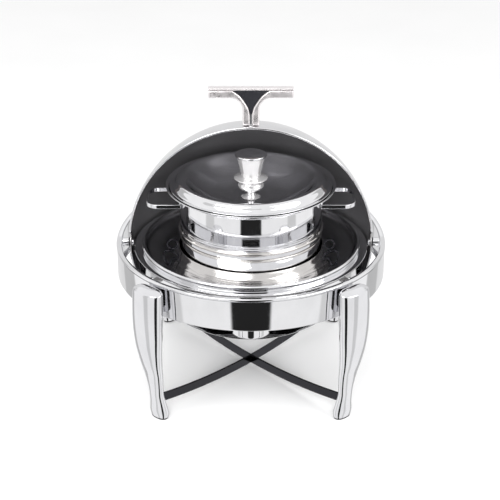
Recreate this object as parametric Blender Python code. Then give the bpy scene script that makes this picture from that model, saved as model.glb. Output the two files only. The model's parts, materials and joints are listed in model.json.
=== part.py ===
"""Round roll top chafer with a soup pot: a banded stand on four legs, a spherical cover that rolls
back on two side hinges, a water pan with an adaptor plate, a soup pot with its lid, and a burner.

Units are metres, +Z is up and -Y is the front. The origin is on the floor, under the middle.
"""

from math import asin, atan2, cos, pi, radians, sin, sqrt, tan

import bmesh
import bpy
from mathutils import Matrix, Vector

# Overall sizes
RIM_Z = 0.246  # height of the stand's front rim above the floor
BAND_R = 0.225  # outer radius of the stand's band
COVER_R = 0.204  # outer radius of the roll top
GAP = 0.0003  # clearance between pieces that touch

# Stand
BAND_HEIGHT = 0.056
BAND_WALL = 0.0015
BAND_LIP = 0.006
BEAD_WIDTH = 0.009
BEAD_HEIGHT = 0.005
REAR_RISE = radians(6.5)  # slope of the rim behind the hinges
LEG_AZIMUTH = radians(42)  # from the front, and the same from the back
PAD_HEIGHT = 0.003
BRACE_HEIGHT = 0.015
BRACE_THICK = 0.0035
BRACE_END_DROP = 0.213  # middle of the brace below the rim, at a leg
BRACE_MID_DROP = 0.233  # the same where the two braces cross

# Roll top hinge
HINGE_DROP = 0.008  # hinge axis below the rim
PIN_R = 0.004
PIN_CLEARANCE = 0.0002
BOSS_R = 0.0075
HINGE_PLATE_R = 0.0175
HINGE_PLATE_THICK = 0.002
WASHER_THICK = 0.0023
NUT_R = 0.006
NUT_LENGTH = 0.0042

# Roll top
COVER_WALL = 0.0012
COVER_FRONT = radians(1.5)  # front edge above the horizontal, closed
COVER_WEDGE = radians(171.5)  # from the front edge over the top to the rear edge
COVER_OPEN = radians(88.5)  # travel from closed to the open stop
POLE_CUT = radians(4.5)  # opening in the shell round each hinge plate
TRIM_R = 0.002
EDGE_BAND_WIDTH = radians(6.0)
EDGE_BAND_THICK = 0.0012

# Handle of the roll top, measured outwards from the shell
HANDLE_WIDTH = 0.138
HANDLE_DEPTH = 0.020
HANDLE_REACH = 0.062
HANDLE_BAR_THICK = 0.0035
HANDLE_ARM_THICK = 0.012
HANDLE_SPLIT = 0.0036  # between the two arms at the stem
HANDLE_BEND_R = 0.020  # inner radius of the bend in each arm
HANDLE_SET_BACK = 0.007  # from the shell's front edge to the front of the stem

# Water pan, its support and the adaptor plate, heights below the rim
PAN_CLEARANCE = 0.0095  # between the roll top and the pan's lip
PAN_LIP_WIDTH = 0.0145
PLATE_INSET = 0.0115  # edge of the adaptor plate inside the pan's lip
PAN_LIP_R = COVER_R - PAN_CLEARANCE
PAN_R = PAN_LIP_R - PAN_LIP_WIDTH
PAN_LIP_DROP = 0.009
PAN_DEPTH = 0.066
SHEET = 0.0012  # gauge of the pressed pieces
RING_THICK = 0.0027
RING_WIDTH = 0.011
BRACKET_WIDTH = 0.014
BRACKET_AZIMUTH = radians(48)
PLATE_R = PAN_LIP_R - PLATE_INSET
PLATE_DROP = 0.025  # lowest part of the adaptor plate
COLLAR_R = 0.1215
COLLAR_WALL = 0.0015
COLLAR_TOP_DROP = 0.007
COLLAR_DEPTH = 0.024
LOOP_R = 0.0085
LOOP_WIRE_R = 0.0015

# Burner
CUP_R = 0.037
CUP_HEIGHT = 0.050
CUP_DROP = 0.177  # underside of the burner cup below the rim
STRAP_WIDTH = 0.022
STRAP_THICK = 0.0022
SNUFFER_PIN_R = 0.003

# Soup pot, heights above the rim
POT_R = 0.119  # outside, at the top of the wall
POT_BASE_R = 0.1155
POT_NECK_R = 0.1165  # outside, below the rings that rest over the collar
POT_LEDGE_R = 0.1210
POT_BEAD_R = 0.1190
POT_RIM_R = 0.140
POT_TOP = 0.099
POT_HANDLE_REACH = 0.172
POT_HANDLE_HALF_WIDTH = 0.038
POT_HANDLE_HEIGHT = 0.007
POT_HANDLE_TOP = 0.076
POT_HANDLE_THICK = 0.003
RIVET_R = 0.004

# Pot lid and knob
LID_R = 0.134
LID_SHOULDER_R = 0.115
LID_SHOULDER_RISE = 0.0105  # shoulder above the lid's edge
LID_DISH = 0.025  # middle of the lid below its edge
KNOB_CAP_R = 0.026
KNOB_FLANGE_R = 0.028
KNOB_BALL_R = 0.0215

# Facets
BAND_STEPS = 48
ROUND_STEPS = 32
SMALL_STEPS = 16
COVER_TILTS = 24
COVER_SWINGS = 22

FACET_SAG = BAND_R * (1 - cos(pi / BAND_STEPS)) + GAP  # deepest chord inside the band, and a gap

HINGE_Z = RIM_Z - HINGE_DROP
BAND_INNER_R = BAND_R - 0.0008 - BAND_WALL
COVER_INNER_R = COVER_R - COVER_WALL
PAN_LIP_Z = RIM_Z - PAN_LIP_DROP
PAN_FLOOR_Z = PAN_LIP_Z - PAN_DEPTH
POT_BASE_Z = PAN_FLOOR_Z + SHEET + GAP
POT_TOP_Z = RIM_Z + POT_TOP


# Scene and materials


def clear_scene():
    for obj in list(bpy.data.objects):
        bpy.data.objects.remove(obj, do_unlink=True)


def make_material(name, colour, roughness, metallic):
    material = bpy.data.materials.new(name)
    material.use_nodes = True
    shader = material.node_tree.nodes["Principled BSDF"]
    shader.inputs["Base Color"].default_value = (*colour, 1)
    shader.inputs["Roughness"].default_value = roughness
    shader.inputs["Metallic"].default_value = metallic
    return material


def make_empty(name, location=(0, 0, 0), parent=None):
    empty = bpy.data.objects.new(name, None)
    empty.location = location
    empty.parent = parent
    bpy.context.scene.collection.objects.link(empty)
    return empty


# Shape helpers


def link_mesh(name, mesh_data, finish, parent):
    """Turn a bmesh into an object with outward faces, smooth except at sharp edges."""
    bmesh.ops.remove_doubles(mesh_data, verts=mesh_data.verts, dist=1e-6)
    bmesh.ops.recalc_face_normals(mesh_data, faces=mesh_data.faces)
    mesh = bpy.data.meshes.new(name)
    mesh_data.to_mesh(mesh)
    mesh_data.free()
    mesh.shade_smooth()
    mesh.set_sharp_from_angle(angle=radians(35))
    mesh.materials.append(make_material(name, *finish))
    obj = bpy.data.objects.new(name, mesh)
    obj.parent = parent
    bpy.context.scene.collection.objects.link(obj)
    return obj


def skin(name, rings, finish, parent, closed_path=False, strip_ends=False):
    """Faces over rings of equal length. An open path is closed by one face at each end or, where a
    ring is a thin strip that goes out and comes back, by a row of faces across the strip."""
    data = bmesh.new()
    rows = [[data.verts.new(point) for point in ring] for ring in rings]
    count = len(rows[0])
    pairs = list(zip(rows, rows[1:]))
    if closed_path:
        pairs.append((rows[-1], rows[0]))
    for one, two in pairs:
        for i in range(count):
            j = (i + 1) % count
            data.faces.new((one[i], one[j], two[j], two[i]))
    ends = [] if closed_path else [rows[0], rows[-1]]
    for row in ends:
        if not strip_ends:
            data.faces.new(row)
            continue
        for i in range(count // 2 - 1):
            back = count - 1 - i
            data.faces.new((row[i], row[i + 1], row[back - 1], row[back]))
    return link_mesh(name, data, finish, parent)


def turned(name, outline, finish, parent, steps=ROUND_STEPS, along=None):
    """Turn a (radius, height) outline about Z. It is a ring, or starts and ends on the axis."""
    on_axis = outline[0][0] == 0 and outline[-1][0] == 0
    rings = []
    for i in range(steps):
        angle = 2 * pi * i / steps
        rings.append([Vector((r * cos(angle), r * sin(angle), z)) for r, z in outline])
    if along is not None:
        rings = [[along @ point for point in ring] for ring in rings]
    data = bmesh.new()
    rows = [[data.verts.new(point) for point in ring] for ring in rings]
    count = len(outline)
    for i, row in enumerate(rows):
        after = rows[(i + 1) % steps]
        for k in range(count - 1 if on_axis else count):
            n = (k + 1) % count
            data.faces.new((row[k], after[k], after[n], row[n]))
    bmesh.ops.remove_doubles(data, verts=data.verts, dist=1e-6)
    bmesh.ops.dissolve_degenerate(data, edges=data.edges, dist=1e-7)
    return link_mesh(name, data, finish, parent)


def sheet(points, thick):
    """Closed outline of a pressed sheet: the points, then their offset to the left of the path."""
    offset = []
    last = len(points) - 1
    for i, (r, z) in enumerate(points):
        before = Vector(points[max(i - 1, 0)])
        after = Vector(points[min(i + 1, last)])
        here = Vector((r, z))
        one = (here - before).normalized() if i > 0 else (after - here).normalized()
        two = (after - here).normalized() if i < last else one
        normal_one, normal_two = Vector((-one.y, one.x)), Vector((-two.y, two.x))
        middle = (normal_one + normal_two).normalized()
        moved = here + middle * (thick / max(middle.dot(normal_one), 0.5))
        offset.append((0 if r == 0 else moved.x, moved.y))
    return list(points) + offset[::-1]


def arc(centre_r, centre_z, radius, start, end, steps):
    """Points of an arc in a turned outline, angles in degrees from the outward direction."""
    angles = [radians(start + (end - start) * i / steps) for i in range(steps + 1)]
    return [(centre_r + radius * cos(a), centre_z + radius * sin(a)) for a in angles]


def prism(name, outline, low, high, finish, parent, place=None):
    """Extrude a flat (x, y) outline from z = low to z = high, then place it."""
    place = place or Matrix.Identity(4)
    rings = [[place @ Vector((x, y, z)) for x, y in outline] for z in (low, high)]
    return skin(name, rings, finish, parent)


def along_x(side):
    """Turned pieces point from the middle outwards along X, to the left (-1) or right (1)."""
    return Matrix.Rotation(side * pi / 2, 4, "Y")


def radial(azimuth):
    """Local X points outwards at an azimuth from the front, +X side positive."""
    return Matrix.Rotation(azimuth - pi / 2, 4, "Z")


# Finishes: colour, roughness, metallic
POLISHED = ((0.78, 0.78, 0.79), 0.08, 1.0)
SATIN = ((0.55, 0.54, 0.54), 0.30, 1.0)
DARK_BAR = ((0.05, 0.05, 0.06), 0.35, 1.0)
BLACK_PLASTIC = ((0.02, 0.02, 0.022), 0.40, 0.0)
RUBBER = ((0.03, 0.03, 0.03), 0.80, 0.0)


# Stand


def rim_height(y):
    """Underside of the rim bead: level in front, rising behind the hinges."""
    return RIM_Z - BEAD_HEIGHT + max(y, 0) * tan(REAR_RISE)


def add_band(parent):
    outer = BAND_R - 0.0008
    low = RIM_Z - BAND_HEIGHT
    rings = []
    bead_rings = []
    for i in range(BAND_STEPS):
        angle = 2 * pi * i / BAND_STEPS
        top = rim_height(outer * sin(angle)) - GAP
        outline = [
            (outer, top),
            (outer, low + 0.003),
            (outer - 0.002, low),
            (outer - BAND_LIP, low),
            (outer - BAND_LIP, low + BAND_WALL),
            (outer - BAND_WALL, low + 0.004),
            (outer - BAND_WALL, top),
        ]
        rings.append([(r * cos(angle), r * sin(angle), z) for r, z in outline])
        foot = top + GAP
        inner = BAND_R - BEAD_WIDTH
        bead = [
            (BAND_R, foot),
            (BAND_R, foot + BEAD_HEIGHT * 0.6),
            (BAND_R - 0.0025, foot + BEAD_HEIGHT),
            (inner + 0.0025, foot + BEAD_HEIGHT),
            (inner, foot + BEAD_HEIGHT * 0.6),
            (inner, foot),
        ]
        bead_rings.append([(r * cos(angle), r * sin(angle), z) for r, z in bead])
    skin("body_band", rings, POLISHED, parent, closed_path=True)
    skin("rim_bead", bead_rings, POLISHED, parent, closed_path=True)


def leg_sections():
    """(drop below the rim, middle radius from the axis, width, depth) from the top to the foot."""
    back = BAND_R + GAP  # the leg's back stands just clear of the band
    levels = [
        (0.0045, 0.0020, 0.0375, 0.014),
        (0.0075, 0.0008, 0.0535, 0.025),
        (0.0120, 0.0005, 0.0580, 0.0290),
        (0.0330, 0.0012, 0.0600, 0.0305),
        (0.0600, 0.0030, 0.0595, 0.0295),
        (0.0860, 0.0040, 0.0570, 0.0278),
        (0.1120, 0.0035, 0.0510, 0.0260),
        (0.1400, 0.0010, 0.0425, 0.0230),
        (0.1640, -0.0020, 0.0355, 0.0195),
        (0.1860, -0.0035, 0.0295, 0.0168),
        (0.2020, -0.0050, 0.0275, 0.0165),
        (0.2180, -0.0090, 0.0310, 0.0190),
        (0.2330, -0.0125, 0.0355, 0.0220),
        (RIM_Z - PAD_HEIGHT - GAP, -0.0120, 0.0330, 0.0200),
    ]
    return [(drop, back + step + depth / 2, width, depth) for drop, step, width, depth in levels]


def rounded_ring(middle_r, width, depth, z, place, steps=12):
    """One level of a leg: a rounded oblong, squarer than an ellipse."""
    ring = []
    for i in range(steps):
        angle = 2 * pi * (i + 0.5) / steps
        c, s = cos(angle), sin(angle)
        u = abs(c) ** 0.72 * (1 if c > 0 else -1)
        v = abs(s) ** 0.72 * (1 if s > 0 else -1)
        ring.append(place @ Vector((middle_r + u * depth / 2, v * width / 2, z)))
    return ring


def leg_azimuths():
    back = pi - LEG_AZIMUTH
    return {
        "front_left": -LEG_AZIMUTH,
        "front_right": LEG_AZIMUTH,
        "rear_left": -back,
        "rear_right": back,
    }


def add_legs(parent):
    sections = leg_sections()
    foot = sections[-1]
    for where, azimuth in leg_azimuths().items():
        place = radial(azimuth)
        rings = [rounded_ring(r, w, d, RIM_Z - drop, place) for drop, r, w, d in sections]
        skin(f"leg_{where}", rings, POLISHED, parent)
        pad = [
            rounded_ring(foot[1], foot[2] - 0.002, foot[3] - 0.002, z, place)
            for z in (0, PAD_HEIGHT)
        ]
        skin(f"foot_pad_{where}", pad, RUBBER, parent)


def leg_inner_radius(drop):
    """Inner face of a leg at a drop below the rim, between its sections."""
    levels = leg_sections()
    for (d1, r1, _, w1), (d2, r2, _, w2) in zip(levels, levels[1:]):
        if d1 <= drop <= d2:
            share = (drop - d1) / (d2 - d1)
            return min(r1 - w1 / 2, r2 - w2 / 2) if 0 < share < 1 else r1 - w1 / 2
    return levels[-1][1] - levels[-1][3] / 2


def add_braces(parent):
    """Two bars on edge that sag between diagonal legs, half lapped where they cross."""
    half = leg_inner_radius(BRACE_END_DROP) - 0.0030
    crossing = sin(2 * LEG_AZIMUTH)
    notch = (BRACE_THICK / 2 + GAP) / crossing
    notch += (BRACE_THICK / 2) * abs(cos(2 * LEG_AZIMUTH)) / crossing

    def middle(s):
        share = abs(s) / half
        drop = BRACE_MID_DROP + (BRACE_END_DROP - BRACE_MID_DROP) * share**2
        return RIM_Z - drop

    count = 9
    side = [notch + (half - notch) * i / count for i in range(count + 1)]
    stations = [-s for s in reversed(side)] + side
    for name, azimuth, over in (
        ("brace_upper", -LEG_AZIMUTH, True),
        ("brace_lower", LEG_AZIMUTH, False),
    ):
        tops = [(s, middle(s) + BRACE_HEIGHT / 2) for s in stations]
        feet = [(s, middle(s) - BRACE_HEIGHT / 2) for s in stations]
        lap = middle(0) + (GAP / 2 if over else -GAP / 2)
        cut = [(-notch, lap), (notch, lap)]
        place = radial(azimuth) @ Matrix.Rotation(pi / 2, 4, "X")
        if over:
            outline = tops + feet[count + 1 :][::-1] + cut[::-1] + feet[: count + 1][::-1]
        else:
            outline = tops[: count + 1] + cut + tops[count + 1 :] + feet[::-1]
        prism(name, outline, -BRACE_THICK / 2, BRACE_THICK / 2, DARK_BAR, parent, place)


def add_hinges(parent):
    """At each side: a boss on the band, a pin through it, a washer and a domed nut inside."""
    plate_outer = COVER_INNER_R - 0.0011
    plate_inner = plate_outer - HINGE_PLATE_THICK
    washer_low = plate_outer + GAP
    boss_low = washer_low + WASHER_THICK + GAP
    boss_high = sqrt(BAND_INNER_R**2 - BOSS_R**2) - FACET_SAG
    bore = PIN_R + PIN_CLEARANCE
    nut_high = plate_inner - GAP
    nut_low = nut_high - NUT_LENGTH
    pin_low = nut_low + 0.0018
    bead_low = BAND_R - BEAD_WIDTH - 2 * FACET_SAG
    for name, side in (("left", -1), ("right", 1)):
        place = Matrix.Translation((0, 0, HINGE_Z)) @ along_x(side)
        boss = [
            (bore, boss_low),
            (BOSS_R - 0.001, boss_low),
            (BOSS_R, boss_low + 0.001),
            (BOSS_R, boss_high),
            (bore, boss_high),
        ]
        boss_piece = turned(f"hinge_boss_{name}", boss, POLISHED, parent, SMALL_STEPS, place)
        saddle = add_cutter(f"bead_saddle_{name}", side, bead_low, parent)
        cut_away(boss_piece, saddle)
        pin = [(0, pin_low), (PIN_R, pin_low), (PIN_R, bead_low - GAP), (0, bead_low - GAP)]
        turned(f"hinge_pin_{name}", pin, SATIN, parent, SMALL_STEPS, place)
        washer = [
            (bore, washer_low),
            (BOSS_R + 0.001, washer_low),
            (BOSS_R + 0.001, washer_low + WASHER_THICK),
            (bore, washer_low + WASHER_THICK),
        ]
        turned(f"hinge_washer_{name}", washer, BLACK_PLASTIC, parent, SMALL_STEPS, place)
        nut = [(0, nut_low), (NUT_R * 0.6, nut_low + 0.0005), (NUT_R, nut_low + 0.0022)]
        nut += [(NUT_R, nut_high), (bore, nut_high), (bore, pin_low - GAP), (0, pin_low - GAP)]
        turned(f"hinge_nut_{name}", nut, POLISHED, parent, SMALL_STEPS, place)


def add_cutter(name, side, start, parent):
    """A block over the outer end of a boss, which leaves room for the rim bead."""
    width = 4 * BOSS_R
    ends = sorted((side * start, side * BAND_R))
    outline = [(ends[0], -width / 2), (ends[1], -width / 2), (ends[1], width / 2), (ends[0], width / 2)]
    low = RIM_Z - BEAD_HEIGHT - GAP
    block = prism(name, outline, low, RIM_Z + BOSS_R, RUBBER, parent)
    block.hide_render = True
    block.display_type = "WIRE"
    return block


def cut_away(piece, cutter):
    cut = piece.modifiers.new("cut", "BOOLEAN")
    cut.operation = "DIFFERENCE"
    cut.object = cutter


def add_pan_support(parent):
    """A ring under the pan's lip, carried by two brackets with screws inside the front rim."""
    top = PAN_LIP_Z - SHEET - GAP
    inner = PAN_R + 0.002
    ring = [
        (inner, top - RING_THICK),
        (inner + RING_WIDTH, top - RING_THICK),
        (inner + RING_WIDTH, top),
        (inner, top),
    ]
    turned("pan_support_ring", ring, SATIN, parent)
    start = inner + RING_WIDTH + 0.001
    end = BAND_INNER_R - 0.001
    half = BRACKET_WIDTH / 2
    outline = [(start, -half), (end, -half), (end, half), (start, half)]
    for name, side in (("left", -1), ("right", 1)):
        place = radial(side * BRACKET_AZIMUTH)
        bar = f"support_bracket_{name}"
        prism(bar, outline, top - RING_THICK, top, SATIN, parent, place)
        screw_r = 0.0032
        screw_at = Matrix.Translation((BAND_R - BEAD_WIDTH - 0.005, 0, top + GAP))
        head = [(0, 0), (screw_r, 0), (screw_r, 0.0045), (screw_r * 0.6, 0.006), (0, 0.006)]
        turned(f"bracket_screw_{name}", head, POLISHED, parent, SMALL_STEPS, place @ screw_at)


def add_water_pan(parent):
    floor = PAN_FLOOR_Z
    corner = 0.014
    path = [(0, floor), (PAN_R - corner, floor)]
    path += arc(PAN_R - corner, floor + corner, corner, -90, 0, 4)[1:]
    path += [(PAN_R, PAN_LIP_Z - SHEET - 0.002)]
    path += [(PAN_R + 0.002, PAN_LIP_Z - SHEET), (PAN_LIP_R, PAN_LIP_Z - SHEET)]
    turned("water_pan", sheet(path, SHEET), POLISHED, parent)


def add_adaptor_plate(parent):
    """A dished plate that rests on the pan's lip, with a collar round the pot and two lifting loops."""
    seat = PAN_LIP_Z + GAP
    low = RIM_Z - PLATE_DROP
    inner = COLLAR_R + GAP
    top = RIM_Z - 0.0002
    path = [(inner, low), (inner + 0.010, low + 0.0005), (PLATE_R - 0.033, low + 0.007)]
    path += [(PLATE_R - 0.012, low + 0.014), (PLATE_R - 0.007, top - 0.0035)]
    path += [(PLATE_R - 0.0045, top - SHEET), (PLATE_R - 0.002, top - SHEET - 0.0008)]
    path += [(PLATE_R - SHEET, top - 0.004), (PLATE_R - SHEET, seat)]
    turned("adaptor_plate", sheet(path, SHEET), POLISHED, parent)
    collar_top = RIM_Z - COLLAR_TOP_DROP
    wall = COLLAR_R - COLLAR_WALL
    collar = [(wall, collar_top - COLLAR_DEPTH), (COLLAR_R, collar_top - COLLAR_DEPTH)]
    collar += [(COLLAR_R, collar_top), (wall, collar_top)]
    turned("adaptor_collar", collar, POLISHED, parent)
    loop_z = low + SHEET + LOOP_R + 2 * LOOP_WIRE_R
    for name, side in (("left", -1), ("right", 1)):
        centre = Vector((side * (COLLAR_R + LOOP_R + LOOP_WIRE_R + GAP), 0, loop_z))
        rings = []
        for i in range(SMALL_STEPS):
            angle = 2 * pi * i / SMALL_STEPS
            out = Vector((cos(angle), 0, sin(angle)))
            ring = []
            for k in range(6):
                turn = 2 * pi * k / 6
                ring.append(
                    centre
                    + out * (LOOP_R + LOOP_WIRE_R * cos(turn))
                    + Vector((0, LOOP_WIRE_R * sin(turn), 0))
                )
            rings.append(ring)
        skin(f"lifting_loop_{name}", rings, DARK_BAR, parent, closed_path=True)


# Burner


def add_burner(parent):
    """A cup on a strap that hangs from the support ring, inside the sweep of the roll top."""
    cup_z = RIM_Z - CUP_DROP
    strap_top = cup_z - GAP
    hang_r = PAN_R + 0.008
    hang_z = PAN_LIP_Z - SHEET - RING_THICK - 2 * GAP
    corners = [
        (-hang_r, hang_z),
        (-hang_r + 0.001, RIM_Z - 0.060),
        (-0.140, RIM_Z - 0.130),
        (-0.070, strap_top - STRAP_THICK),
        (0.070, strap_top - STRAP_THICK),
        (0.140, RIM_Z - 0.130),
        (hang_r - 0.001, RIM_Z - 0.060),
        (hang_r, hang_z),
    ]
    outline = sheet(corners, STRAP_THICK)
    half = STRAP_WIDTH / 2
    place = Matrix.Rotation(pi / 2, 4, "X")
    prism("burner_strap", outline, -half, half, DARK_BAR, parent, place)
    path = [(0, cup_z), (CUP_R - 0.004, cup_z), (CUP_R, cup_z + 0.004), (CUP_R, cup_z + CUP_HEIGHT)]
    turned("burner_cup", sheet(path, SHEET), POLISHED, parent, 28)
    pin_x = CUP_R + SNUFFER_PIN_R + GAP
    pin_place = Matrix.Translation((pin_x, 0, 0))
    pin = [(0, strap_top + 2 * GAP), (SNUFFER_PIN_R, strap_top + 2 * GAP)]
    pin += [(SNUFFER_PIN_R, cup_z + CUP_HEIGHT), (0, cup_z + CUP_HEIGHT)]
    turned("snuffer_pin", pin, SATIN, parent, 12, pin_place)
    swivel = make_empty("snuffer_swivel", (pin_x, 0, cup_z + CUP_HEIGHT + GAP), parent)
    disc = [(-pin_x + (CUP_R + 0.001) * cos(a), (CUP_R + 0.001) * sin(a)) for a in turn_steps(24)]
    prism("snuffer_lid", disc, 0, 0.002, SATIN, swivel)
    grip = [(-0.001, -0.005), (0.018, -0.005), (0.018, 0.005), (-0.001, 0.005)]
    prism("snuffer_grip", grip, 0.002 + GAP, 0.004, BLACK_PLASTIC, swivel)
    swivel.rotation_euler.z = radians(-110)


def turn_steps(count):
    return [2 * pi * i / count for i in range(count)]


# Roll top, modelled closed about the hinge axis, then turned back to its open stop


def cover_point(radius, tilt, swing):
    """A point of the cover: swing runs from pole to pole, tilt from the front over the top."""
    ring = radius * sin(swing)
    return Vector((-radius * cos(swing), -ring * cos(tilt), ring * sin(tilt)))


def add_cover_patch(name, outer_r, thick, tilt_low, tilt_high, tilts, skip, finish, parent):
    """A piece of a spherical shell between two tilts, which leaves out some stations at each pole."""
    rings = []
    for i in range(skip, COVER_SWINGS + 1 - skip):
        swing = POLE_CUT + (pi - 2 * POLE_CUT) * i / COVER_SWINGS
        tilt_steps = [tilt_low + (tilt_high - tilt_low) * k / tilts for k in range(tilts + 1)]
        outer = [cover_point(outer_r, tilt, swing) for tilt in tilt_steps]
        inner = [cover_point(outer_r - thick, tilt, swing) for tilt in reversed(tilt_steps)]
        rings.append(outer + inner)
    return skin(name, rings, finish, parent, strip_ends=True)


def add_edge_trim(name, tilt, sense, parent):
    """A round wire along one edge of the shell, from one hinge plate to the other."""
    middle_r = COVER_R - COVER_WALL / 2
    cut = asin((HINGE_PLATE_R + TRIM_R + 2 * GAP) / middle_r)
    rings = []
    for i in range(COVER_SWINGS + 1):
        swing = cut + (pi - 2 * cut) * i / COVER_SWINGS
        on_edge = cover_point(middle_r, tilt, swing)
        out = on_edge.normalized()
        side = Vector((0, sin(tilt), cos(tilt)))
        centre = on_edge + side * sense * (TRIM_R + GAP)
        ring = []
        for k in range(6):
            turn = 2 * pi * k / 6
            ring.append(centre + (out * cos(turn) + side * sin(turn)) * TRIM_R)
        rings.append(ring)
    skin(name, rings, POLISHED, parent)


def add_cover(parent):
    hinge = make_empty("roll_top_hinge", (0, 0, HINGE_Z), parent)
    front = COVER_FRONT
    rear = COVER_FRONT + COVER_WEDGE
    shell = (COVER_R, COVER_WALL, front, rear, COVER_TILTS, 0)
    add_cover_patch("roll_top_shell", *shell, POLISHED, hinge)
    facet_sag = COVER_R * (1 - cos(COVER_WEDGE / COVER_TILTS / 2))
    strip_r = COVER_INNER_R - GAP - facet_sag
    strip = (strip_r, EDGE_BAND_THICK, front, front + EDGE_BAND_WIDTH, 1, 2)
    add_cover_patch("roll_top_edge_band", *strip, SATIN, hinge)
    add_edge_trim("roll_top_front_trim", front, -1, hinge)
    add_edge_trim("roll_top_rear_trim", rear, 1, hinge)
    plate_outer = COVER_INNER_R - 0.0011
    bore = PIN_R + PIN_CLEARANCE
    for name, side in (("left", -1), ("right", 1)):
        plate = [
            (bore, plate_outer - HINGE_PLATE_THICK),
            (HINGE_PLATE_R, plate_outer - HINGE_PLATE_THICK),
            (HINGE_PLATE_R, plate_outer),
            (bore, plate_outer),
        ]
        turned(f"hinge_plate_{name}", plate, SATIN, hinge, SMALL_STEPS, along_x(side))
    add_cover_handle(hinge)
    hinge.rotation_euler.x = -COVER_OPEN


def arm_outline():
    """Right-hand arm of the handle, as (across, outwards): up the stem, round the bend, then out."""
    inside = HANDLE_SPLIT / 2
    outside = inside + HANDLE_ARM_THICK
    base = 2 * GAP
    top = HANDLE_REACH - HANDLE_BAR_THICK - GAP
    bend = HANDLE_BEND_R
    wide = bend + HANDLE_ARM_THICK
    centre = (outside + bend, top - wide)
    half = HANDLE_WIDTH / 2
    steps = 8
    low = []
    high = []
    for i in range(steps + 1):
        angle = pi - (pi / 2) * i / steps
        low.append((centre[0] + bend * cos(angle), centre[1] + bend * sin(angle)))
        high.append((centre[0] + wide * cos(angle), centre[1] + wide * sin(angle)))
    under = [(half, top - HANDLE_ARM_THICK), (half, top)]
    return [(inside, base), (outside, base)] + low + under + high[::-1], high


def add_cover_handle(hinge):
    """Two bent arms with a filler between them, a flat bar on top and a screw at the foot."""
    tilt = COVER_FRONT + (HANDLE_SET_BACK + HANDLE_DEPTH / 2) / COVER_R
    outwards = Matrix.Rotation(-tilt, 4, "X")
    foot = COVER_R
    # local x across, local y outwards from the shell, local z along the shell
    place = outwards @ Matrix.Translation((0, -foot, 0)) @ Matrix.Diagonal((1, -1, 1, 1))
    half_depth = HANDLE_DEPTH / 2
    outline, bend = arm_outline()
    for name, side in (("left", -1), ("right", 1)):
        mirrored = [(side * x, y) for x, y in outline]
        arm_name = f"handle_arm_{name}"
        prism(arm_name, mirrored, -half_depth, half_depth, POLISHED, hinge, place)
    top = HANDLE_REACH
    low = top - HANDLE_BAR_THICK
    half = HANDLE_WIDTH / 2
    bar = [(-half, low), (half, low), (half, top), (-half, top)]
    prism("handle_top_bar", bar, -half_depth, half_depth, POLISHED, hinge, place)
    clear = 0.0004
    left_edge = [(-(x - clear), y + clear) for x, y in bend]
    right_edge = [(x - clear, y + clear) for x, y in bend]
    base = bend[0][1] - 0.010
    ceiling = low - GAP
    web = [(0.0012, base)] + [(x, min(y, ceiling)) for x, y in right_edge[:-1]]
    web += [(right_edge[-2][0] + 0.003, ceiling)]
    web += [(left_edge[-2][0] - 0.003, ceiling)]
    web += [(x, min(y, ceiling)) for x, y in left_edge[:-1][::-1]] + [(-0.0012, base)]
    web_half = half_depth - 0.002
    prism("handle_web", web, -web_half, web_half, BLACK_PLASTIC, hinge, place)
    screw_tilt = COVER_FRONT + 0.0035 / COVER_R
    screw_place = Matrix.Rotation(pi / 2 - screw_tilt, 4, "X")
    screw = [(0, COVER_R + GAP), (0.0028, COVER_R + GAP), (0.002, COVER_R + 0.002), (0, COVER_R + 0.002)]
    turned("handle_screw", screw, POLISHED, hinge, 12, screw_place)


# Soup pot, its lid and knob


def pot_wall_path():
    top = POT_TOP_Z
    base = POT_BASE_Z
    corner = 0.007
    path = [(0, base), (POT_BASE_R - corner, base)]
    path += arc(POT_BASE_R - corner, base + corner, corner, -90, 0, 3)[1:]
    path += [(POT_NECK_R, RIM_Z), (POT_NECK_R, RIM_Z + 0.032)]
    path += [(POT_R - 0.0010, RIM_Z + 0.036), (POT_R, top - 0.011), (POT_R + 0.004, top - 0.0055)]
    path += [(POT_RIM_R - 0.003, top - 0.0015), (POT_RIM_R, top)]
    return path


def add_pot(parent):
    pot = make_empty("soup_pot_axis", (0, 0, 0), parent)
    turned("soup_pot", sheet(pot_wall_path(), SHEET), POLISHED, pot)
    wall = POT_NECK_R + GAP
    ledge = [(wall, RIM_Z + 0.0215), (POT_LEDGE_R, RIM_Z + 0.0225)]
    ledge += [(POT_LEDGE_R, RIM_Z + 0.0255), (wall, RIM_Z + 0.0275)]
    turned("pot_ledge_ring", ledge, POLISHED, pot)
    bead = [(wall, RIM_Z + 0.009), (POT_BEAD_R, RIM_Z + 0.0105)]
    bead += [(POT_BEAD_R, RIM_Z + 0.013), (wall, RIM_Z + 0.0145)]
    turned("pot_lower_bead", bead, POLISHED, pot)
    for name, side in (("left", -1), ("right", 1)):
        add_pot_handle(name, side, pot)
    return pot


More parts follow.
